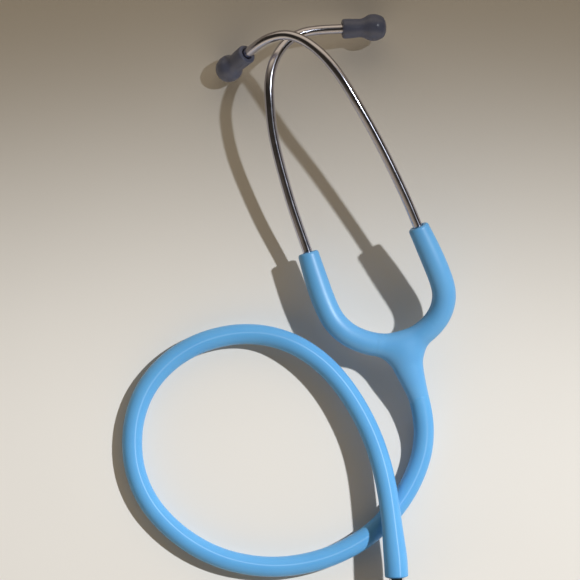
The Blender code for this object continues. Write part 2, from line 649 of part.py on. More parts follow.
def make_diaphragm_rim():
    """Ring that clips round the drum and holds the diaphragm down."""
    inner = DRUM_RADIUS + GAP
    outer = inner + RIM_WALL
    under = DRUM_TOP + 2 * GAP + DIAPHRAGM_THICKNESS
    top = under + 0.7
    low = DRUM_TOP - DRUM_EDGE
    profile = [
        (DRUM_RADIUS - 2.2, top - 0.2), (DRUM_RADIUS - 1.9, top), (outer - 0.5, top), (outer - 0.1, top - 0.3),
        (outer, top - 0.8), (outer, low + 0.2), (outer - 0.2, low), (inner, low), (inner, under),
        (DRUM_RADIUS - 2.2, under),
    ]
    return as_part(turned("diaphragm_rim", profile, STEM["foot"], 40, True), "diaphragm_rim", GREY_RUBBER)


def make_bell_sleeve():
    """Soft ring pressed over the bell's edge, so that the metal doesn't chill the skin."""
    bell = BELL_RADIUS
    outside = bell + GAP
    inside = bell - 1.1 - GAP
    floor = SLEEVE_WALL
    outer = outside + SLEEVE_WALL
    inner = inside - SLEEVE_WALL
    profile = [
        (outside, 4.0), (outer - 0.3, 4.0), (outer, 3.6), (outer, 0.5), (outer - 0.5, 0.0), (inner + 0.4, 0.0),
        (inner, 0.4), (inner, 1.9), (inside, 1.9), (inside, floor), (outside, floor),
    ]
    return as_part(turned("bell_sleeve", profile, STEM["foot"], 40, True), "bell_sleeve", GREY_RUBBER)


# ------------------------------------------------------------------------------------------ assembly
def yoke_layout():
    path = smooth_path(layout(YOKE_ROUTE))
    length = distances(path)[-1]
    middle = YOKE_MIDDLE * length
    rims = path[0], path[-1]
    centre = at(path, middle)
    normal = np.cross(rims[1] - centre, rims[0] - centre)
    return {
        "path": path,
        "length": length,
        "middle": centre,
        "left": middle - PIVOT_DISTANCE * MM,
        "right": middle + PIVOT_DISTANCE * MM,
        "normal": normal / np.linalg.norm(normal),
    }


def hose_layout():
    path = smooth_path(np.vstack([YOKE["middle"], layout(HOSE_ROUTE)]))
    return {"path": path, "length": distances(path)[-1]}


def build():
    make_yoke_center()
    make_spring_bridge()
    sides = (("left", -1.0, 0.0, LEFT_TUBE_ROUTE), ("right", 1.0, YOKE["length"], RIGHT_TUBE_ROUTE))
    for side, sign, rim, route in sides:
        path, neck, along = ear_tube_path(rim, sign, route)
        moving = make_arm(side, sign, rim, path)
        tube_pieces, tip = make_ear_tube(side, path, neck, along)
        centre = Vector(at(YOKE["path"], YOKE[side]))
        pivot = pivot_empty(side + "_arm_pivot", frame_on(centre, open_axis(side), (0.0, 1.0, 0.0)))
        hang_on(pivot, moving + tube_pieces + [tip])
    make_hose()
    make_hose_cuff()
    make_stem()
    make_stem_rings()
    make_detent()
    head = [make_chestpiece_body(), make_diaphragm(), make_diaphragm_rim(), make_bell_sleeve()]
    hang_on(pivot_empty("chestpiece_pivot", STEM["matrix"]), head)


clear_scene()
PARTS = new_collection("stethoscope")
CUTTERS = new_collection("cutters")
YOKE = yoke_layout()
HOSE = hose_layout()
STEM = stem_frame()
DETENT = {"along": -3.6, "pocket": 1.05, "ball": 0.75, "ball_at": 2.05, "coil": 0.5, "wire": 0.12}
build()
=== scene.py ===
# %% [markdown]
# # An acoustic stethoscope, put down on a bench
#
# The object is a headset and a hose: a moulded vinyl yoke holds two bent steel ear tubes with soft tips,
# and one long hose carries the sound to them from a two-sided chestpiece.  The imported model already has
# every piece at its real size.  Here each visible one gets its final surface and its finish, in the same
# frame, in metres.

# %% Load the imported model
import math

import bpy
import numpy as np
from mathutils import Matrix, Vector


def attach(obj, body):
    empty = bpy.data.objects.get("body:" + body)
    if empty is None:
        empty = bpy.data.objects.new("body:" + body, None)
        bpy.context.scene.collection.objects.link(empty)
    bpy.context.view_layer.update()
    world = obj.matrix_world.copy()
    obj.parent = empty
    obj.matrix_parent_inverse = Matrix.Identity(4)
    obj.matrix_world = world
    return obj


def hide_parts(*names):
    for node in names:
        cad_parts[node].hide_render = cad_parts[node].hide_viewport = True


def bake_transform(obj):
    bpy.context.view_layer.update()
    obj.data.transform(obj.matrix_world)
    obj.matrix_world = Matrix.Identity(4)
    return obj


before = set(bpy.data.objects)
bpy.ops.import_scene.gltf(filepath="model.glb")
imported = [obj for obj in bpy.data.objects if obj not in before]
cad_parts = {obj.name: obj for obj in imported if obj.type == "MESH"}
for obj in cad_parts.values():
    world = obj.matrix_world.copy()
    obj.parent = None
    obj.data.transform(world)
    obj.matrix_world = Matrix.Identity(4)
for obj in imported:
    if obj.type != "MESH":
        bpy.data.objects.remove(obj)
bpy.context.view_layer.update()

# %% [markdown]
# ## Where things lie
#
# The layout was worked out in millimetres on the bench, with its own zero under the camera.  The model's
# zero is somewhere else, so one small function moves points from the first to the second.

# %% Bench millimetres to model metres
MM = 0.001
BENCH_ZERO = np.array([20.838, -26.099, 0.0])  # the model's origin, in bench millimetres


def bench(points):
    """Bench millimetres to the model's metres: take off the origin, then scale."""
    return (np.array(points, float) - BENCH_ZERO) * MM


# %% [markdown]
# ## The camera
#
# It hangs a little over a metre above the bench and looks straight down, so the bench reads flat and
# only the raised tubes show any perspective.

# %% Camera
CAMERA_HEIGHT = 1.1
VIEW_WIDTH = 274.05 * MM  # what it sees across, at the bench


def make_camera():
    """A long lens whose angle is twice the arctangent of half the view's width over the height."""
    data = bpy.data.cameras.new("bench_camera")
    data.sensor_width = 36.0
    data.lens = 36.0 * CAMERA_HEIGHT / VIEW_WIDTH
    data.clip_end = 20.0
    camera = bpy.data.objects.new("bench_camera", data)
    bpy.context.scene.collection.objects.link(camera)
    camera.location = bench((0.0, 0.0, 0.0)) + np.array([0.0, 0.0, CAMERA_HEIGHT])
    bpy.context.scene.camera = camera
    return camera


camera = make_camera()
print("lens", round(camera.data.lens, 1), "mm, at", np.round(np.array(camera.location), 4))

# %% [markdown]
# ## Lines to sweep along
#
# The hose, the yoke and the ear tubes are all round pieces on a bent centre line.  A Catmull-Rom curve
# passes through every point it is given, so it is easy to lay out.  Its curvature jumps a little
# at each point, and a glossy tube shows that as a kink in its highlight, so the dense line is relaxed
# afterwards.

# %% Smooth lines
def smooth_line(points, samples=24):
    """Catmull-Rom: between two points, a cubic set by them and by the points either side of them."""
    knots = np.vstack([2 * points[0] - points[1], points, 2 * points[-1] - points[-2]])
    p0, p1, p2, p3 = knots[:-3, None], knots[1:-2, None], knots[2:-1, None], knots[3:, None]
    t = np.linspace(0.0, 1.0, samples, endpoint=False)[None, :, None]
    linear = (p2 - p0) * t
    square = (2 * p0 - 5 * p1 + 4 * p2 - p3) * t**2
    cubic = (3 * p1 - p0 - 3 * p2 + p3) * t**3
    curve = 0.5 * (2 * p1 + linear + square + cubic)
    return np.vstack([curve.reshape(-1, 3), points[-1:]])


def lengths(line):
    """Distance along the line to each of its points: a running sum of its steps."""
    return np.concatenate([[0.0], np.cumsum(np.linalg.norm(np.diff(line, axis=0), axis=1))])


def spot_on(line, where):
    """Points on the line at these distances along it, by straight interpolation."""
    run = lengths(line)
    return np.stack([np.interp(where, run, line[:, axis]) for axis in range(3)], axis=-1)


def relaxed(line, step, window):
    """The line at even steps, each point the weighted mean of those within a window, its ends kept."""
    total = lengths(line)[-1]
    even = spot_on(line, np.linspace(0.0, total, int(round(total / step)) + 1))
    reach = max(1, int(round(window / step)))
    weights = np.cos(np.linspace(-math.pi / 2, math.pi / 2, 2 * reach + 3)[1:-1]) ** 2
    weights /= weights.sum()
    before = 2 * even[0] - even[reach:0:-1]
    after = 2 * even[-1] - even[-2 : -reach - 2 : -1]
    padded = np.vstack([before, even, after])
    return np.stack([np.convolve(padded[:, axis], weights, "valid") for axis in range(3)], axis=1)


# %% [markdown]
# ## Grids to meshes
#
# Every new piece is a grid of points: rows run along it and columns run round it.  The columns always
# join up into rings.  The rows either join up too, as on an O-ring, or end in a small fan, so every piece
# is closed.  The sign of the enclosed volume says whether the faces point outwards.

# %% A grid of points becomes a closed mesh
def grid_faces(rows, columns, ring_of_rows):
    """Quads between each row and the next, with the last column joined to the first."""
    last = rows if ring_of_rows else rows - 1
    row, column = np.meshgrid(np.arange(last), np.arange(columns), indexing="ij")
    following, beside = (row + 1) % rows, (column + 1) % columns
    corners = [row * columns + column, following * columns + column]
    corners += [following * columns + beside, row * columns + beside]
    return np.stack(corners, axis=-1).reshape(-1, 4)


def fan_faces(ring, pole):
    """Triangles from each edge of a ring to one point."""
    return np.stack([ring, np.roll(ring, -1), np.full(len(ring), pole)], axis=1)


def enclosed(points, triangles):
    """Volume inside the mesh: a sixth of the sum of each triangle's triple product."""
    a, b, c = points[triangles[:, 0]], points[triangles[:, 1]], points[triangles[:, 2]]
    return float(np.einsum("ij,ij->i", a, np.cross(b, c)).sum() / 6)


def fill_mesh(mesh, points, quads, triangles, uvs):
    """Puts whole arrays into the mesh at once, smooth-shaded; uvs has a row for every quad corner."""
    loops = np.concatenate([quads.reshape(-1), triangles.reshape(-1)]).astype(np.int32)
    sizes = np.concatenate([np.full(len(quads), 4), np.full(len(triangles), 3)]).astype(np.int32)
    mesh.vertices.add(len(points))
    mesh.vertices.foreach_set("co", points.astype(np.float32).reshape(-1))
    mesh.loops.add(len(loops))
    mesh.loops.foreach_set("vertex_index", loops)
    mesh.polygons.add(len(sizes))
    mesh.polygons.foreach_set("loop_start", (np.cumsum(sizes) - sizes).astype(np.int32))
    mesh.polygons.foreach_set("use_smooth", np.ones(len(sizes), bool))
    mesh.update(calc_edges=True)
    flat = np.zeros((len(loops), 2), np.float32)
    flat[: len(uvs)] = uvs
    mesh.uv_layers.new(name="along_and_round").data.foreach_set("uv", flat.reshape(-1))


def surface(name, grid, ring_of_rows=False, poles=None):
    """A closed mesh from a grid of rows by columns; poles are the points that close its two ends."""
    rows, columns = grid.shape[:2]
    points = grid.reshape(-1, 3)
    quads = grid_faces(rows, columns, ring_of_rows)
    row, column = np.divmod(np.arange(len(quads)), columns)
    steps = np.array([[0, 0], [1, 0], [1, 1], [0, 1]])
    uvs = (np.stack([row, column], axis=1)[:, None] + steps) / (rows, columns)
    triangles = np.zeros((0, 3), int)
    if not ring_of_rows:
        ends = (grid[0].mean(axis=0), grid[-1].mean(axis=0)) if poles is None else poles
        first = fan_faces(np.arange(columns), len(points))
        last = fan_faces(np.arange(columns)[::-1] + (rows - 1) * columns, len(points) + 1)
        points = np.vstack([points, ends])
        triangles = np.vstack([first, last])
    halves = np.vstack([quads[:, [0, 1, 2]], quads[:, [0, 2, 3]], triangles])
    if enclosed(points, halves) < 0:
        quads, triangles, uvs = quads[:, ::-1], triangles[:, ::-1], uvs[:, ::-1]
    mesh = bpy.data.meshes.new(name)
    fill_mesh(mesh, points, quads, triangles, uvs.reshape(-1, 2))
    piece = bpy.data.objects.new(name, mesh)
    bpy.context.scene.collection.objects.link(piece)
    print(f"{name}: {rows} x {columns} grid, {abs(enclosed(points, halves)) * 1e9:.0f} mm3 inside")
    return piece


# %% [markdown]
# ## Two ways to make a grid
#
# A swept tube carries a circle along a line.  A turned piece carries a profile round an axis.  Together
# they make everything here but the yoke's fork.

# %% Swept tubes
def swept_grid(line, where, radius, sides):
    """Circle carried along a line: centre + radius * (cos of the angle * top + sin of it * side).

    side is the line's direction crossed with straight up, and top is side crossed with the direction.
    """
    direction = np.gradient(line, axis=0)
    direction /= np.linalg.norm(direction, axis=1)[:, None]
    side = np.cross(direction, (0.0, 0.0, 1.0))
    side /= np.linalg.norm(side, axis=1)[:, None]
    top = np.cross(side, direction)
    run = lengths(line)
    centre, side, top = (
        np.stack([np.interp(where, run, values[:, axis]) for axis in range(3)], axis=-1)
        for values in (line, side, top)
    )
    angle = np.linspace(0.0, 2 * math.pi, sides, endpoint=False)[None, :, None]
    ring = np.cos(angle) * top[:, None] + np.sin(angle) * side[:, None]
    return centre[:, None] + np.broadcast_to(radius, len(where))[:, None, None] * ring


# %% Turned pieces
def softened(corners, steps=7):
    """Profile with each corner (radius, height, round) replaced by a quadratic curve between the points
    that lie `round` before and after it.  A point just outside each curve keeps flats shading flat."""
    corners = np.array(corners, float)
    point, cut = corners[:, :2], corners[:, 2]
    before, after = point - np.roll(point, 1, axis=0), np.roll(point, -1, axis=0) - point
    run_in, run_out = np.linalg.norm(before, axis=1), np.linalg.norm(after, axis=1)
    before, after = before / run_in[:, None], after / run_out[:, None]
    back, forward = np.minimum(cut, 0.4 * run_in), np.minimum(cut, 0.4 * run_out)
    start, end = point - before * back[:, None], point + after * forward[:, None]
    t = np.linspace(0.0, 1.0, steps)[None, :, None]
    curve = (1 - t) ** 2 * start[:, None] + 2 * t * (1 - t) * point[:, None] + t**2 * end[:, None]
    guard_in = (start - before * (0.2 * back)[:, None])[:, None]
    guard_out = (end + after * (0.2 * forward)[:, None])[:, None]
    profile = np.concatenate([guard_in, curve, guard_out], axis=1).reshape(-1, 2)
    moved = np.linalg.norm(np.diff(profile, axis=0), axis=1) > 1e-6
    return profile[np.concatenate([[True], moved])]


def axis_frame(origin, along, up=(0.0, 0.0, 1.0)):
    """Origin, and the three directions of a frame whose third is the given one."""
    third = np.array(along, float) / np.linalg.norm(along)
    first = np.array(up, float) - third * np.dot(third, up)
    first /= np.linalg.norm(first)
    return np.array(origin, float), first, np.cross(third, first), third


def turned(name, profile, place, sides=96, ring=False):
    """Profile of (radius, height) millimetres carried round an axis: origin + radius * (cos * first
    + sin * second) + height * third.  A profile that starts or ends on the axis is closed there."""
    origin, first, second, third = place
    radius, height = profile[:, 0] * MM, profile[:, 1] * MM
    poles = None
    if not ring:
        poles = origin + np.outer(height[[0, -1]], third)
        on_axis = radius < 1e-7
        radius, height = radius[~on_axis], height[~on_axis]
    angle = np.linspace(0.0, 2 * math.pi, sides, endpoint=False)
    spokes = np.outer(np.cos(angle), first) + np.outer(np.sin(angle), second)
    grid = origin + radius[:, None, None] * spokes[None] + height[:, None, None] * third
    return surface(name, grid, ring, poles)


# %% [markdown]
# ## The hose
#
# One length of extruded vinyl, 9.5 mm across.  It leaves the yoke's neck, drops to the bench, makes one
# loop, climbs over itself and goes back into the object at the chestpiece's stem.  It is a circle carried
# along the route, and its last stretch swells where it is pushed over the stem's barb, with a small
# rounded rim.  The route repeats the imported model's own.

# %% Routes
YOKE_ROUTE = [
    (8.3, 17.5, 15.3), (11.7, 6.5, 14.7), (15.6, -4.7, 14.3), (20.3, -14.2, 14.3),
    (27.1, -20.7, 14.5), (35.4, -24.4, 14.8), (43.8, -25.8, 15.0), (50.8, -25.2, 15.1),
    (57.8, -22.6, 15.6), (64.2, -18.1, 16.8), (69.0, -12.1, 18.6), (71.2, -5.6, 20.6),
    (71.0, 0.9, 22.6), (68.1, 9.2, 25.0), (63.6, 19.3, 27.3), (58.8, 29.3, 29.5),
]
HOSE_ROUTE = [
    (56.2, -35.0, 14.3), (58.6, -44.5, 12.5), (61.0, -53.3, 10.2), (62.5, -61.5, 8.1), (62.8, -69.3, 6.3),
    (61.8, -77.3, 5.2), (58.8, -86.6, 4.8), (54.1, -95.8, 4.8), (48.0, -104.4, 4.8), (40.3, -112.6, 4.8),
    (30.9, -119.4, 4.8), (19.8, -124.9, 4.8), (7.3, -128.6, 4.8), (-6.6, -130.2, 4.8), (-20.7, -129.1, 4.8),
    (-34.3, -125.4, 4.8), (-46.9, -118.9, 4.8), (-58.0, -110.0, 4.8), (-66.8, -99.2, 4.8),
    (-72.4, -86.4, 4.8), (-74.3, -72.7, 4.8), (-72.7, -58.8, 4.8), (-67.2, -45.6, 4.8), (-57.4, -34.2, 4.8),
    (-44.6, -26.0, 4.8), (-31.4, -21.8, 4.8), (-19.3, -20.7, 5.1), (-7.6, -22.2, 6.4), (4.0, -26.6, 8.3),
    (14.8, -34.0, 9.4), (24.0, -43.7, 10.1), (31.6, -55.0, 10.8), (37.8, -67.3, 11.6), (42.2, -79.9, 12.8),
    (45.0, -92.0, 14.2), (46.9, -104.4, 15.2), (48.2, -116.0, 16.0), (49.2, -126.0, 16.5),
    (49.6, -133.6, 16.5),
]
YOKE_MIDDLE = 0.529  # share of the yoke's length, from the left rim, where the neck leaves it

yoke_line = relaxed(smooth_line(bench(YOKE_ROUTE)), 0.5 * MM, 4.0 * MM)
yoke_length = lengths(yoke_line)[-1]
middle = YOKE_MIDDLE * lengths(smooth_line(bench(YOKE_ROUTE)))[-1]
fork = spot_on(yoke_line, middle)
hose_line = relaxed(smooth_line(np.vstack([fork, bench(HOSE_ROUTE)])), 0.5 * MM, 5.0 * MM)
hose_length = lengths(hose_line)[-1]
print(f"yoke {yoke_length * 1e3:.0f} mm round, hose {hose_length * 1e3:.0f} mm from the fork")

# %% Hose
HOSE_RADIUS = 4.75
NECK_END = 29.0  # distance from the fork to where the hose leaves the neck
NECK_OVERLAP = 3.0  # how far the hose's own skin starts inside the neck
CUFF_LENGTH = 14.0
CUFF_SWELL = 0.75  # how much the barb stretches the hose's radius
CUFF_RIM = 0.9
BARB_RADIUS = 3.0
BORE_DEPTH = 6.0


def make_hose():
    """Circle of this radius at each station: the hose's own, plus a smooth step up to the cuff's.

    Stations run out along the line, round the rim in a quarter circle, and back inside to make the
    open end."""
    start, end = (NECK_END - NECK_OVERLAP) * MM, hose_length
    rim = CUFF_RIM * MM
    outside = np.linspace(start, end - rim, 640)
    into_cuff = np.clip((outside - (end - 2 * CUFF_LENGTH * MM)) / (1.5 * CUFF_LENGTH * MM), 0.0, 1.0)
    swell = into_cuff**2 * (3 - 2 * into_cuff) * CUFF_SWELL
    radius = (HOSE_RADIUS + swell) * MM
    radius = radius - 0.02 * MM * np.clip((NECK_END * MM - outside) / (1.5 * MM), 0.0, 1.0)
    turn = np.linspace(0.0, math.pi / 2, 8)[1:]
    rim_where = end - rim + rim * np.sin(turn)
    rim_radius = radius[-1] - rim * (1 - np.cos(turn))
    bore = (BARB_RADIUS + 0.25) * MM
    inside = end - np.array([0.01, 0.3, BORE_DEPTH]) * MM
    where = np.concatenate([outside, rim_where, inside])
    widths = np.concatenate([radius, rim_radius, [bore + 0.15 * MM, bore, bore]])
    piece = surface("vinyl_hose", swept_grid(hose_line, where, widths, 48))
    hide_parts("hose", "hose_cuff")
    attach(piece, "yoke")
    return piece


hose = make_hose()

# %% [markdown]
# ## The yoke's fork
#
# The yoke and its neck are one moulding: a round bent limb, and a neck that starts as a wide flat web and
# narrows to the hose.  They run into each other through a soft fillet.  A Boolean union would leave a
# crease there, and Bevel can't round a crease between two bent tubes.  Instead the surface is where one
# formula is zero: the smooth minimum of the distances to the two limbs.  A voxel remesh of two plain tubes
# gives the points to start from, and each then slides down the formula's slope until it lies on the surface.

# %% Radii of the moulding
YOKE_RADIUS = 5.5
RIM_RADIUS = 4.85
FILLET = 7.0
WEB_START = 7.0  # distance from the fork at which the neck's own wide root starts
WEB_SPREAD = 5.0  # how much wider than the hose the neck's root is, to each side
WEB_SHIFT = 2.7  # how far the root's middle lies towards -X
WEB_FLATNESS = 0.55  # how much thinner than wide the root is
RIM_TAPER = 22.0  # length over which each arm thins to its rim


def limb_radius(where):
    """Wall radius along the yoke, in metres: it thins towards each rim as a quarter of a sine."""
    share = np.clip(np.minimum(where, yoke_length - where) / (RIM_TAPER * MM), 0.0, 1.0)
    return (RIM_RADIUS + (YOKE_RADIUS - RIM_RADIUS) * np.sin(share * math.pi / 2)) * MM


def neck_left(where):
    """Share of the neck still to go, from 1 at the fork to 0 at the hose."""
    return np.clip(1.0 - where / (NECK_END * MM), 0.0, 1.0)


def neck_radius(where):
    """Half width of the neck: a wide web at its root that narrows to the hose as a power of 1.5."""
    return (HOSE_RADIUS + WEB_SPREAD * neck_left(where) ** 1.5) * MM


# %% The formula
SEAM = 14.5  # distance from the fork to where each arm's own skin takes over
seam_run = np.linspace(middle - SEAM * MM, middle + SEAM * MM, 90)
seam_centres, seam_radii = spot_on(yoke_line, seam_run), limb_radius(seam_run)
neck_run = np.linspace(WEB_START * MM, NECK_END * MM - 0.5 * MM, 80)
neck_centres, neck_radii = spot_on(hose_line, neck_run), neck_radius(neck_run)
neck_centres[:, 0] -= WEB_SHIFT * MM * neck_left(neck_run) ** 1.5
flatness = 1.0 + WEB_FLATNESS * neck_left(neck_run)


def limb_distance(points, centres, radii, flat=1.0):
    """Least distance from each point to the limb's line, less the limb's radius there.

    A height offset counts `flat` times, which makes a limb that much thinner than it is wide."""
    start, step = centres[:-1], np.diff(centres, axis=0)
    offset = points[:, None] - start[None]
    t = np.clip(np.einsum("ijk,jk->ij", offset, step) / (step**2).sum(axis=1), 0.0, 1.0)
    away = offset - t[..., None] * step
    away[..., 2] *= flat
    apart = np.linalg.norm(away, axis=2)
    wall = radii[:-1] + t * np.diff(radii)
    return (apart - wall).min(axis=1)


def fork_distance(points):
    """Smooth minimum: the lesser distance, less a square of how nearly equal the two are."""
    limb = limb_distance(points, seam_centres, seam_radii)
    neck = limb_distance(points, neck_centres, neck_radii, flatness[:-1])
    near = np.clip(FILLET * MM - np.abs(limb - neck), 0.0, None)
    return np.minimum(limb, neck) - near**2 / (4 * FILLET * MM)


# %% Fork
ROUGH_RADIUS = 5.2  # of the plain neck to start from: less than the yoke's, so its flat end is buried
VOXEL = 0.6


def slid_onto(points, formula, rounds=8):
    """Newton's method: each point moves down the formula's slope by its value over the slope's length."""
    step = 0.02 * MM
    for _ in range(rounds):
        value = formula(points)
        slope = np.stack([formula(points + step * unit) - value for unit in np.eye(3)], axis=1) / step
        points = points - value[:, None] * slope / np.maximum((slope**2).sum(axis=1), 0.2)[:, None]
    return points


def eased(points, edges, rounds=6):
    """Each point moves halfway to the mean of its neighbours, which evens the mesh out."""
    for _ in range(rounds):
        total = np.zeros_like(points)
        np.add.at(total, edges[:, 0], points[edges[:, 1]])
        np.add.at(total, edges[:, 1], points[edges[:, 0]])
        count = np.bincount(edges.reshape(-1), minlength=len(points))
        points = 0.5 * points + 0.5 * total / count[:, None]
    return points


def make_fork():
    """Two plain tubes, remeshed into one skin, then laid onto the formula."""
    limb = surface("fork_limb", swept_grid(yoke_line, seam_run, seam_radii, 40))
    rough_run = np.linspace(0.0, (NECK_END - 0.5) * MM, 90)
    rough_radii = np.minimum(neck_radius(rough_run), ROUGH_RADIUS * MM)
    neck = surface("fork_neck", swept_grid(hose_line, rough_run, rough_radii, 40))
    union = limb.modifiers.new("join", "BOOLEAN")
    union.operation, union.object = "UNION", neck
    voxels = limb.modifiers.new("skin", "REMESH")
    voxels.mode, voxels.voxel_size = "VOXEL", VOXEL * MM
    graph = bpy.context.evaluated_depsgraph_get()
    skin = bpy.data.meshes.new_from_object(limb.evaluated_get(graph))
    bpy.data.objects.remove(neck)
    bpy.data.objects.remove(limb)
    points = np.empty(len(skin.vertices) * 3)
    skin.vertices.foreach_get("co", points)
    edges = np.empty(len(skin.edges) * 2, np.int32)
    skin.edges.foreach_get("vertices", edges)
    points, edges = points.reshape(-1, 3), edges.reshape(-1, 2)
    for _ in range(3):
        points = slid_onto(eased(points, edges), fork_distance, 4)
    points = slid_onto(points, fork_distance)
    worst = np.abs(fork_distance(points)).max() * 1e6
    print(f"fork: {len(points)} points, off the formula by at most {worst:.1f} um")
    skin.vertices.foreach_set("co", points.astype(np.float32).reshape(-1))
    skin.polygons.foreach_set("use_smooth", np.ones(len(skin.polygons), bool))
    skin.update()
    skin.name = "yoke_fork"
    piece = bpy.data.objects.new("yoke_fork", skin)
    bpy.context.scene.collection.objects.link(piece)
    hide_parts("yoke_center")
    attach(piece, "yoke")
    return piece


yoke_fork = make_fork()

# %% [markdown]
# ## The yoke's arms
#
# Each arm is a bent tube that ends in a soft rim round the ear tube.  A real arm bends over its inner
# 16 mm when the tips are pulled apart.

# %% Arms
TUBE_RADIUS = 2.25
ARM_LIP = 1.25
FADE_IN = 4.0  # length over which the arm's skin rises from just under the fork's


def make_arm(name, side, nodes):
    """Circle of the yoke's wall radius at each station.

    Stations run from inside the fork to the rim, round it in a quarter circle, and back in around the
    ear tube."""
    rim = 0.0 if side < 0 else yoke_length
    start = middle + side * (SEAM - 1.5) * MM
    lip = ARM_LIP * MM
    outside = np.linspace(start, rim - side * lip, 150)
    radius = limb_radius(outside)
    fade = np.clip(1.0 - np.abs(outside - start) / (FADE_IN * MM), 0.0, 1.0)
    radius = radius - 0.05 * MM * fade
    turn = np.linspace(0.0, math.pi / 2, 10)[1:]
    rim_where = rim - side * lip * (1 - np.sin(turn))
    rim_radius = radius[-1] - lip * (1 - np.cos(turn))
    bore = (TUBE_RADIUS + 0.12) * MM
    inner = np.array([0.0, 0.25, 0.8, 7.0]) * MM
    inner_radius = np.array([bore + 0.45 * MM, bore + 0.12 * MM, bore, bore])
    where = np.concatenate([outside, rim_where, rim - side * inner])
    widths = np.concatenate([radius, rim_radius, inner_radius])
    piece = surface(name, swept_grid(yoke_line, where, widths, 48))
    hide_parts(*nodes)
    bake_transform(piece)
    return piece


left_skin = make_arm("left_arm_skin", -1, ["left_arm"])
right_skin = make_arm("right_arm_skin", 1, ["right_arm"])

# %% [markdown]
# ## The ear tubes
#
# Thin steel tube, 4.5 mm outside, bent on a former so that the tips meet the ear canals.  Relaxed, the
# spring in the yoke pulls the two past each other and they cross.  Each starts inside its arm and ends
# inside its tip.

# %% Ear tubes
LEFT_TUBE_ROUTE = [
    (0.0, 41.7, 20.0), (-7.3, 69.2, 24.6), (-9.5, 88.5, 27.0), (-9.3, 97.8, 26.2), (-7.6, 105.2, 24.4),
    (-4.5, 111.3, 21.4), (0.1, 116.5, 18.2), (6.2, 119.9, 15.4), (14.4, 121.4, 13.2), (24.4, 122.0, 12.0),
]
RIGHT_TUBE_ROUTE = [
    (53.3, 41.8, 32.4), (45.8, 57.2, 35.6), (38.7, 70.7, 38.3), (30.3, 85.2, 41.0), (22.9, 97.1, 41.8),
    (15.9, 105.9, 40.6), (9.2, 112.0, 38.2), (2.8, 115.6, 36.0), (-2.8, 116.9, 33.4), (-9.2, 115.9, 29.6),
    (-14.5, 113.5, 25.0), (-19.9, 109.8, 18.3),
]
TUBE_INSERT = 18.0  # how far the tube goes into the arm
TUBE_IN_TIP = 7.2
TUBE_EDGE = 0.35


def tube_route(side, route):
    """From inside the arm, out through its rim along the bends, and straight into the tip."""
    rim = 0.0 if side < 0 else lengths(smooth_line(bench(YOKE_ROUTE)))[-1]
    inserts = rim - side * np.array([TUBE_INSERT, TUBE_INSERT / 2, 0.0]) * MM
    outside = bench(route)
    heading = outside[-1] - outside[-2]
    heading /= np.linalg.norm(heading)
    into_tip = outside[-1] + heading * TUBE_IN_TIP * MM
    knots = np.vstack([spot_on(smooth_line(bench(YOKE_ROUTE)), inserts), outside, into_tip])
    return relaxed(smooth_line(knots), 0.4 * MM, 3.0 * MM), outside[-1], heading


def make_ear_tube(name, side, route, body):
    """One radius carried along the route, with each end's edge rounded as a quarter circle."""
    line, tip_base, heading = tube_route(side, route)
    total = lengths(line)[-1]
    rounded = TUBE_EDGE * MM
    turn = np.linspace(0.0, math.pi / 2, 6)
    first, last = turn[:-1], turn[1:]
    along = np.linspace(rounded, total - rounded, 420)
    where = np.concatenate([rounded * (1 - np.cos(first)), along, total - rounded * (1 - np.sin(last))])
    edge = TUBE_RADIUS * MM - rounded
    plain = np.full(len(along), TUBE_RADIUS * MM)
    widths = np.concatenate([edge + rounded * np.sin(first), plain, edge + rounded * np.cos(last)])
    piece = surface(name, swept_grid(line, where, widths, 40))
    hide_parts(body.replace("arm", "ear_tube"))
    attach(piece, body)
    return piece, tip_base, heading


left_tube, left_base, left_heading = make_ear_tube("left_steel_tube", -1, LEFT_TUBE_ROUTE, "left_arm")
right_tube, right_base, right_heading = make_ear_tube(
    "right_steel_tube", 1, RIGHT_TUBE_ROUTE, "right_arm"
)

# %% [markdown]
# ## The soft tips
#
# Each is moulded in one go: a plain neck with a rounded rim, a slight waist, and a bulb that seals the
# ear, with a small sound hole at its end.  A turned profile gives all of that.

# %% Soft tips
TIP_LENGTH = 20.6
TIP_PROFILE = [
    (1.3, TIP_LENGTH - 4.0, 0.0), (1.3, TIP_LENGTH - 0.2, 0.5), (2.5, TIP_LENGTH, 1.1),
    (5.0, TIP_LENGTH - 1.2, 2.6), (6.35, TIP_LENGTH - 4.6, 2.6), (6.2, TIP_LENGTH - 7.8, 2.6),
    (4.7, TIP_LENGTH - 10.4, 2.4), (4.3, TIP_LENGTH - 12.2, 1.0), (4.66, 3.2, 1.6), (4.6, 0.0, 1.5),
    (2.6, 0.0, 0.5), (2.45, 3.0, 0.0),
]  # radius, distance from the base, and rounding of each corner, from the sound hole round to the socket


def make_tip(name, base, heading, body):
    """The tip's profile carried round the line on which its tube ends."""
    piece = turned(name, softened(TIP_PROFILE, 9), axis_frame(base, heading), 72)
    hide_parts(body)
    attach(piece, body)
    return piece


left_tip = make_tip("left_soft_tip", left_base, left_heading, "left_ear_tip")
right_tip = make_tip("right_soft_tip", right_base, right_heading, "right_ear_tip")

# %% [markdown]
# ## The chestpiece and its stem
#
# A brass body is turned on a lathe, chromed, and carries a wide diaphragm on one side and a small bell on
# the other.  It turns about the stem's axis to bring one or the other into use.  Here it lies on its bell.
# Everything round about its own axis is a turned profile, with every edge broken as a lathe tool breaks it.

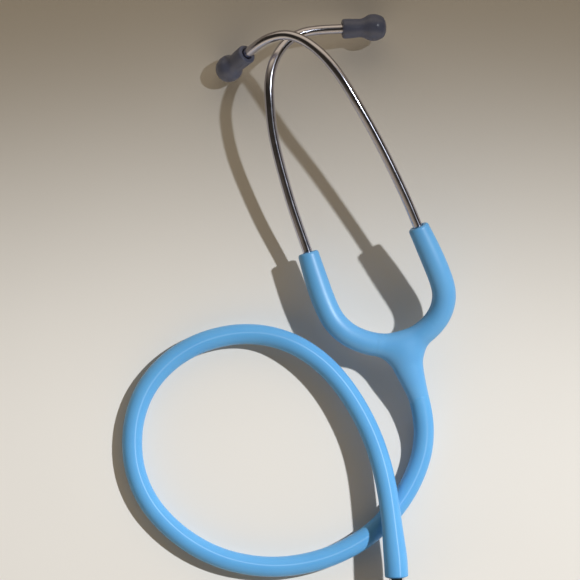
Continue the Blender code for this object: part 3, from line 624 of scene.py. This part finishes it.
# %% Frames of the chestpiece and the stem
STEM_HEIGHT = 16.5
BOSS_REACH = 13.0
STEM_FACE = 25.6  # from the chestpiece's axis to the hose's end
hose_end = bench(HOSE_ROUTE)[-1]
stem_way = bench(HOSE_ROUTE)[-1] - bench(HOSE_ROUTE)[-2]
stem_way[2] = 0.0
stem_way /= np.linalg.norm(stem_way)
chest_centre = hose_end + stem_way * STEM_FACE * MM
chest_foot = chest_centre - np.array([0.0, 0.0, STEM_HEIGHT * MM])
upright = axis_frame(chest_foot, (0.0, 0.0, 1.0), (1.0, 0.0, 0.0))
along_stem = axis_frame(chest_centre, -stem_way)
print("chestpiece centre", np.round(chest_centre, 4))

# %% Body, boss and stem
DRUM_RADIUS = 21.1
DRUM_TOP = 26.4
BELL_RADIUS = 15.4
WAIST_RADIUS = 9.2
BODY_PROFILE = [  # down the drum's side, in to the waist, out to the bell's edge, and up its cup
    (0.0, DRUM_TOP - 1.8, 0.0), (DRUM_RADIUS - 1.9, DRUM_TOP - 0.7, 0.2), (DRUM_RADIUS - 1.6, DRUM_TOP, 0.2),
    (DRUM_RADIUS, DRUM_TOP, 0.3), (DRUM_RADIUS, 23.4, 0.5), (DRUM_RADIUS - 1.7, 22.7, 0.6),
    (WAIST_RADIUS + 4.4, 22.2, 3.0), (WAIST_RADIUS, 19.6, 2.6), (WAIST_RADIUS, 11.4, 2.4),
    (BELL_RADIUS - 2.6, 6.6, 1.6), (BELL_RADIUS, 4.9, 0.5), (BELL_RADIUS, 1.3, 0.2),
    (BELL_RADIUS - 1.1, 1.3, 0.2), (BELL_RADIUS - 1.1, 2.3, 0.2), (BELL_RADIUS - 3.6, 4.6, 1.5),
    (6.6, 6.8, 2.0), (2.2, 9.5, 0.3), (0.0, 9.5, 0.0),
]
BOSS_PROFILE = [  # a plain sleeve with a shallow recess in its end
    (0.0, 5.0, 0.0), (5.4, 5.0, 0.0), (5.4, BOSS_REACH, 0.5), (4.3, BOSS_REACH, 0.25),
    (4.3, BOSS_REACH - 0.5, 0.1), (0.0, BOSS_REACH - 0.5, 0.0),
]
STEM_PROFILE = [  # the barb, the collar, the flange, and the spindle inside the boss
    (0.0, STEM_FACE + 11.0, 0.0), (2.6, STEM_FACE + 11.0, 0.3), (2.9, STEM_FACE + 8.0, 0.3),
    (2.6, STEM_FACE - 0.2, 0.1), (3.5, STEM_FACE - 0.2, 0.3), (3.5, 16.4, 0.3), (4.2, 15.7, 0.3),
    (4.2, 13.5, 0.3), (2.7, 13.3, 0.1), (2.7, 8.0, 0.0), (0.0, 8.0, 0.0),
]


def make_chest_metal():
    """Body and boss turn together on the chestpiece, and the stem stays with the hose."""
    body = turned("chromed_body", softened(BODY_PROFILE), upright, 144)
    boss = turned("chromed_boss", softened(BOSS_PROFILE), along_stem, 72)
    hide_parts("chestpiece_body")
    for piece in (body, boss):
        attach(piece, "chestpiece")
    stem = turned("chromed_stem", softened(STEM_PROFILE), along_stem, 72)
    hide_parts("stem")
    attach(stem, "yoke")
    return [body, boss, stem]


chest_metal = make_chest_metal()

# %% Diaphragm, its rim and the bell's sleeve
DISC_PROFILE = [
    (0.0, 27.1, 0.0), (DRUM_RADIUS - 0.3, 27.1, 0.1), (DRUM_RADIUS - 0.3, 26.7, 0.1), (0.0, 26.7, 0.0),
]
RIM_PROFILE = [
    (DRUM_RADIUS - 2.2, 27.45, 0.2), (DRUM_RADIUS - 1.7, 28.1, 0.4), (DRUM_RADIUS + 1.0, 28.1, 0.6),
    (DRUM_RADIUS + 1.0, 23.6, 0.3), (DRUM_RADIUS + 0.3, 23.6, 0.1), (DRUM_RADIUS + 0.3, 27.2, 0.1),
    (DRUM_RADIUS - 2.2, 27.2, 0.05),
]
SLEEVE_PROFILE = [
    (BELL_RADIUS + 0.1, 4.2, 0.1), (BELL_RADIUS + 0.8, 4.2, 0.4), (BELL_RADIUS + 1.3, 3.0, 0.6),
    (BELL_RADIUS + 1.3, 0.0, 0.7), (BELL_RADIUS - 2.4, 0.0, 0.7), (BELL_RADIUS - 2.4, 1.9, 0.3),
    (BELL_RADIUS - 1.2, 1.9, 0.1), (BELL_RADIUS - 1.2, 1.1, 0.05), (BELL_RADIUS + 0.1, 1.1, 0.05),
]


def make_chest_soft():
    """A closed disc, and two rings whose profiles close on themselves."""
    disc = turned("clear_diaphragm", softened(DISC_PROFILE), upright, 144)
    rim = turned("diaphragm_ring", softened(RIM_PROFILE), upright, 144, True)
    sleeve = turned("bell_ring", softened(SLEEVE_PROFILE), upright, 144, True)
    for piece, node, slot in (
        (disc, "diaphragm", "clear_disc"),
        (rim, "diaphragm_rim", "grey_rubber"),
        (sleeve, "bell_sleeve", "grey_rubber"),
    ):
        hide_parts(node)
        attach(piece, "chestpiece")
    return disc, rim, sleeve


disc, disc_rim, bell_ring = make_chest_soft()

# %% [markdown]
# ## Finishes
#
# Each finish starts from the real material and how its surface was made.  Colours are written as sRGB hex
# and turned to linear light by one function.  Patterns use object coordinates, so their scale is a real
# size: a noise of scale 1000 has features a millimetre across.

# %% Colour and node helpers
def linear(hex_colour):
    """sRGB hex to linear: a straight part near black and a power of 2.4 above it."""
    levels = np.array([int(hex_colour[i : i + 2], 16) for i in (1, 3, 5)]) / 255
    curve = np.where(levels <= 0.04045, levels / 12.92, ((levels + 0.055) / 1.055) ** 2.4)
    return (*curve.tolist(), 1.0)


def add(tree, kind, inputs=None, **settings):
    """Adds one node: settings are its own, and inputs are numbers, colours or another node's output."""
    made = tree.nodes.new(kind)
    for key, value in settings.items():
        setattr(made, key, value)
    for key, value in (inputs or {}).items():
        if isinstance(value, bpy.types.NodeSocket):
            tree.links.new(value, made.inputs[key])
        else:
            made.inputs[key].default_value = value
    return made


def finish_of(name, colour, roughness, metallic=0.0, ior=1.5):
    """A material whose Principled shader starts from plain values."""
    material = bpy.data.materials.new(name)
    material.use_nodes = True
    tree = material.node_tree
    shader = tree.nodes["Principled BSDF"]
    shader.inputs["Base Color"].default_value = linear(colour)
    shader.inputs["Roughness"].default_value = roughness
    shader.inputs["Metallic"].default_value = metallic
    shader.inputs["IOR"].default_value = ior
    return material, tree, shader


def dress(material, *objects):
    """Gives the objects this material in place of whatever they have."""
    print(f"{material.name}: {', '.join(piece.name for piece in objects)}")
    for piece in objects:
        if not piece.material_slots:
            piece.data.materials.append(material)
        for slot in piece.material_slots:
            slot.material = material


def shaded_between(tree, factor, low, high):
    """Straight blend from low to high as the factor goes from 0.3 to 0.7, where a noise mostly stays."""
    spread = {"Value": factor, "From Min": 0.3, "From Max": 0.7}
    share = add(tree, "ShaderNodeMapRange", spread).outputs["Result"]
    mixed = add(tree, "ShaderNodeMix", {0: share, 6: linear(low), 7: linear(high)}, data_type="RGBA")
    return mixed.outputs[2]


# %% [markdown]
# ### Blue vinyl
#
# Plasticised PVC, IOR about 1.53, coloured through.  The hose is extruded: the die draws it out smooth along
# its length, so its highlight is one thin bright line that runs far along it.  The yoke is moulded and a
# little duller, with a broad soft shine.  Both show a faint cloudiness in the colour and a very fine
# unevenness, which softens the light's reflection.

# %% Vinyl
def stretch_along(tree, shader, amount):
    """Highlights run lengthways: the tangent follows the mesh's first UV direction, which is its length."""
    tangent = add(tree, "ShaderNodeTangent", direction_type="UV_MAP", uv_map="along_and_round")
    tree.links.new(tangent.outputs["Tangent"], shader.inputs["Tangent"])
    shader.inputs["Anisotropic"].default_value = amount


def dulled_at_the_start(tree, roughness):
    """Adds 0.3 at the end that meets the neck, fading to nothing over the first 6% of the length."""
    along = add(tree, "ShaderNodeUVMap", uv_map="along_and_round").outputs["UV"]
    share = add(tree, "ShaderNodeSeparateXYZ", {"Vector": along}).outputs["X"]
    extra = add(
        tree, "ShaderNodeMapRange", {"Value": share, "From Max": 0.06, "To Min": 0.3, "To Max": 0.0},
        interpolation_type="SMOOTHSTEP",
    ).outputs["Result"]
    return add(tree, "ShaderNodeMath", {0: roughness, 1: extra}, operation="ADD").outputs[0]


def make_vinyl(name, roughness, shine, lengthways):
    material, tree, shader = finish_of(name, "#61A6DD", roughness, ior=1.53)
    shader.inputs["Specular IOR Level"].default_value = shine
    if lengthways:
        stretch_along(tree, shader, lengthways)
    place = add(tree, "ShaderNodeTexCoord").outputs["Object"]
    cloud = add(tree, "ShaderNodeTexNoise", {"Vector": place, "Scale": 70.0, "Detail": 3.0}).outputs["Fac"]
    tree.links.new(shaded_between(tree, cloud, "#5FA4DC", "#63A8DE"), shader.inputs["Base Color"])
    grain = add(tree, "ShaderNodeTexNoise", {"Vector": place, "Scale": 1400.0, "Detail": 2.0}).outputs["Fac"]
    spread = add(
        tree, "ShaderNodeMapRange", {"Value": grain, "To Min": roughness - 0.03, "To Max": roughness + 0.05}
    ).outputs["Result"]
    if lengthways:
        spread = dulled_at_the_start(tree, spread)
    tree.links.new(spread, shader.inputs["Roughness"])
    bump = add(tree, "ShaderNodeBump", {"Height": grain, "Strength": 0.05, "Distance": 0.05 * MM})
    tree.links.new(bump.outputs["Normal"], shader.inputs["Normal"])
    shader.inputs["Subsurface Weight"].default_value = 0.06
    shader.inputs["Subsurface Radius"].default_value = (0.3, 0.6, 1.0)
    shader.inputs["Subsurface Scale"].default_value = 1.5 * MM
    return material


dress(make_vinyl("extruded_blue_vinyl", 0.37, 0.25, 1.0), hose)
dress(make_vinyl("moulded_blue_vinyl", 0.41, 0.5, 0.0), yoke_fork, left_skin, right_skin)

# %% [markdown]
# ### Polished steel and chrome
#
# Stainless tube is drawn, bent and then buffed, which leaves very fine lines and a slightly broken
# reflection.  Chrome plate on turned brass is brighter and cleaner, with the faint rings of the tool.

# %% Metals
def make_metal(name, colour, roughness, lines):
    """Brightness of the reflection varies a little with a fine noise; lines is its bump strength."""
    material, tree, shader = finish_of(name, colour, roughness, 1.0)
    place = add(tree, "ShaderNodeTexCoord").outputs["Object"]
    wear = add(tree, "ShaderNodeTexNoise", {"Vector": place, "Scale": 220.0, "Detail": 4.0}).outputs["Fac"]
    spread = add(
        tree, "ShaderNodeMapRange", {"Value": wear, "To Min": roughness * 0.7, "To Max": roughness * 1.5}
    )
    tree.links.new(spread.outputs["Result"], shader.inputs["Roughness"])
    fine = add(tree, "ShaderNodeTexNoise", {"Vector": place, "Scale": 900.0, "Detail": 1.0}).outputs["Fac"]
    bump = add(tree, "ShaderNodeBump", {"Height": fine, "Strength": lines, "Distance": 0.02 * MM})
    tree.links.new(bump.outputs["Normal"], shader.inputs["Normal"])
    return material


buffed_steel = make_metal("buffed_stainless_tube", "#C9C3C6", 0.24, 0.03)
chrome = make_metal("chromed_turned_brass", "#D9D9DB", 0.07, 0.02)
spring_steel = make_metal("blued_spring_steel", "#6F7178", 0.32, 0.1)
long_tube = make_metal("drawn_and_buffed_tube", "#BFBECB", 0.165, 0.03)
stretch_along(long_tube.node_tree, long_tube.node_tree.nodes["Principled BSDF"], 0.7)
dress(long_tube, left_tube, right_tube)
dress(chrome, *chest_metal)

# %% [markdown]
# ### Soft silicone and rubber
#
# Silicone takes a very smooth skin from its mould but scatters light just under it, so its highlights are
# wide and milky.  The rings on the chestpiece are a duller rubber.

# %% Soft finishes
def make_soft(name, low, high, roughness):
    """A two-tone cloud in the colour, and the fine grain of a bead-blasted mould."""
    material, tree, shader = finish_of(name, low, roughness, ior=1.43)
    place = add(tree, "ShaderNodeTexCoord").outputs["Object"]
    cloud = add(tree, "ShaderNodeTexNoise", {"Vector": place, "Scale": 160.0, "Detail": 3.0}).outputs["Fac"]
    tree.links.new(shaded_between(tree, cloud, low, high), shader.inputs["Base Color"])
    grain = add(tree, "ShaderNodeTexNoise", {"Vector": place, "Scale": 2200.0, "Detail": 2.0}).outputs["Fac"]
    bump = add(tree, "ShaderNodeBump", {"Height": grain, "Strength": 0.08, "Distance": 0.04 * MM})
    tree.links.new(bump.outputs["Normal"], shader.inputs["Normal"])
    return material


silicone = make_soft("slate_moulded_silicone", "#5D637D", "#656B85", 0.27)
ring_rubber = make_soft("grey_ring_rubber", "#4D5057", "#555860", 0.55)
black_rubber = make_soft("black_seal_rubber", "#1B1B1C", "#222223", 0.5)
dress(silicone, left_tip, right_tip)
dress(ring_rubber, disc_rim, bell_ring)

# %% Diaphragm sheet
def make_disc_finish():
    """Glass cloth in epoxy, 0.4 mm thick: off-white and smooth, with its threads just showing.

    Real threads lie about 0.5 mm apart, which is too fine to see, so these are drawn 3 mm apart: a wave's
    bands repeat every 2 pi / (20 * scale) metres."""
    material, tree, shader = finish_of("glass_epoxy_sheet", "#D5D8D6", 0.28, ior=1.55)
    place = add(tree, "ShaderNodeTexCoord").outputs["Object"]
    threads = [
        add(
            tree, "ShaderNodeTexWave", {"Vector": place, "Scale": 100.0, "Distortion": 0.6, "Detail": 1.0},
            bands_direction=way,
        ).outputs["Fac"]
        for way in ("X", "Y")
    ]
    cloth = add(tree, "ShaderNodeMath", {0: threads[0], 1: threads[1]}, operation="MULTIPLY").outputs[0]
    tree.links.new(shaded_between(tree, cloth, "#CFD3D1", "#DCDEDC"), shader.inputs["Base Color"])
    bump = add(tree, "ShaderNodeBump", {"Height": cloth, "Strength": 0.06, "Distance": 0.03 * MM})
    tree.links.new(bump.outputs["Normal"], shader.inputs["Normal"])
    return material


dress(make_disc_finish(), disc)

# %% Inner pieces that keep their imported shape
def node_objects(*names):
    """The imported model's own objects with these names."""
    return [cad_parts[name] for name in names]


springs = ("spring_bridge", "left_spring_leaf", "right_spring_leaf", "stem_snap_ring", "detent_spring")
fittings = ("left_tube_ferrule", "right_tube_ferrule", "left_tip_nipple", "right_tip_nipple", "detent_ball")
dress(spring_steel, *node_objects(*springs))
dress(buffed_steel, *node_objects(*fittings))
dress(black_rubber, *node_objects("stem_o_ring"))

# %% [markdown]
# ## Bench and light
#
# The bench is a plain warm off-white.  One strong lamp, small for its distance, stands off to the upper
# right and gives crisp shadows; its beam is cut so that the far side of the bench falls off into shade.
# Two soft boxes beyond the front and back edges lift the shadows.  The room is dark overhead and to the
# sides, which is what puts the dark bands along the polished tubes.

# %% Bench
def make_bench():
    """One square face, twelve metres across, so that its edges are never near."""
    half = 6.0
    mesh = bpy.data.meshes.new("bench")
    corners = [(-half, -half, 0.0), (half, -half, 0.0), (half, half, 0.0), (-half, half, 0.0)]
    mesh.from_pydata(corners, [], [(0, 1, 2, 3)])
    bench_top = bpy.data.objects.new("bench", mesh)
    bpy.context.scene.collection.objects.link(bench_top)
    material, tree, shader = finish_of("matt_off_white_bench", "#DFDAD5", 0.9)
    place = add(tree, "ShaderNodeTexCoord").outputs["Object"]
    cloud = add(tree, "ShaderNodeTexNoise", {"Vector": place, "Scale": 9.0, "Detail": 2.0}).outputs["Fac"]
    tree.links.new(shaded_between(tree, cloud, "#DED9D4", "#E0DBD6"), shader.inputs["Base Color"])
    dress(material, bench_top)


make_bench()

# %% Lamp and room
LAMP_DISTANCE = 3.0
LAMP_HEADING = math.radians(25.5)
LAMP_HEIGHT = math.radians(50.0)
BEAM_CENTRE = bench((-199.0, -922.0, 0.0))
BEAM_HALF_ANGLE = 17.2
LAMP_POWER = 415.0
ROOM_STRENGTH = 0.86


def make_lamp():
    """Spot whose place is the distance times (cos height * cos heading, cos height * sin heading,
    sin height), turned so that its back points away from the middle of its beam."""
    data = bpy.data.lights.new("key_lamp", "SPOT")
    data.energy = LAMP_POWER
    data.color = (0.92, 0.97, 1.0)
    data.spot_size = math.radians(2 * BEAM_HALF_ANGLE)
    data.spot_blend = 0.42
    data.shadow_soft_size = 0.05
    lamp = bpy.data.objects.new("key_lamp", data)
    bpy.context.scene.collection.objects.link(lamp)
    level = math.cos(LAMP_HEIGHT)
    along, across = level * math.cos(LAMP_HEADING), level * math.sin(LAMP_HEADING)
    place = bench((0.0, 0.0, 0.0)) + np.array([along, across, math.sin(LAMP_HEIGHT)]) * LAMP_DISTANCE
    back = place - BEAM_CENTRE
    lamp.location = place
    lamp.rotation_euler = Vector(back).to_track_quat("Z", "Y").to_euler()


def make_room():
    """Dark room with a soft box beyond the front edge and one beyond the back: the brightness is a smooth
    step of how far a direction leans to the front or back, on top of a faint glow from everywhere."""
    world = bpy.data.worlds.new("studio_room")
    world.use_nodes = True
    tree = world.node_tree
    backdrop = tree.nodes["Background"]
    way = add(tree, "ShaderNodeTexCoord").outputs["Generated"]
    parts = add(tree, "ShaderNodeSeparateXYZ", {"Vector": way}).outputs
    lean = add(tree, "ShaderNodeMath", {0: parts["Y"]}, operation="ABSOLUTE").outputs[0]
    step = {"Value": lean, "From Min": 0.38, "From Max": 0.8, "To Min": 0.035, "To Max": 1.0}
    box = add(tree, "ShaderNodeMapRange", step, interpolation_type="SMOOTHSTEP").outputs["Result"]
    backdrop.inputs["Color"].default_value = (1.0, 0.84, 0.61, 1.0)
    strength = add(tree, "ShaderNodeMath", {0: box, 1: ROOM_STRENGTH}, operation="MULTIPLY").outputs[0]
    tree.links.new(strength, backdrop.inputs["Strength"])
    bpy.context.scene.world = world


make_lamp()
make_room()
bpy.context.scene.view_settings.view_transform = "Standard"
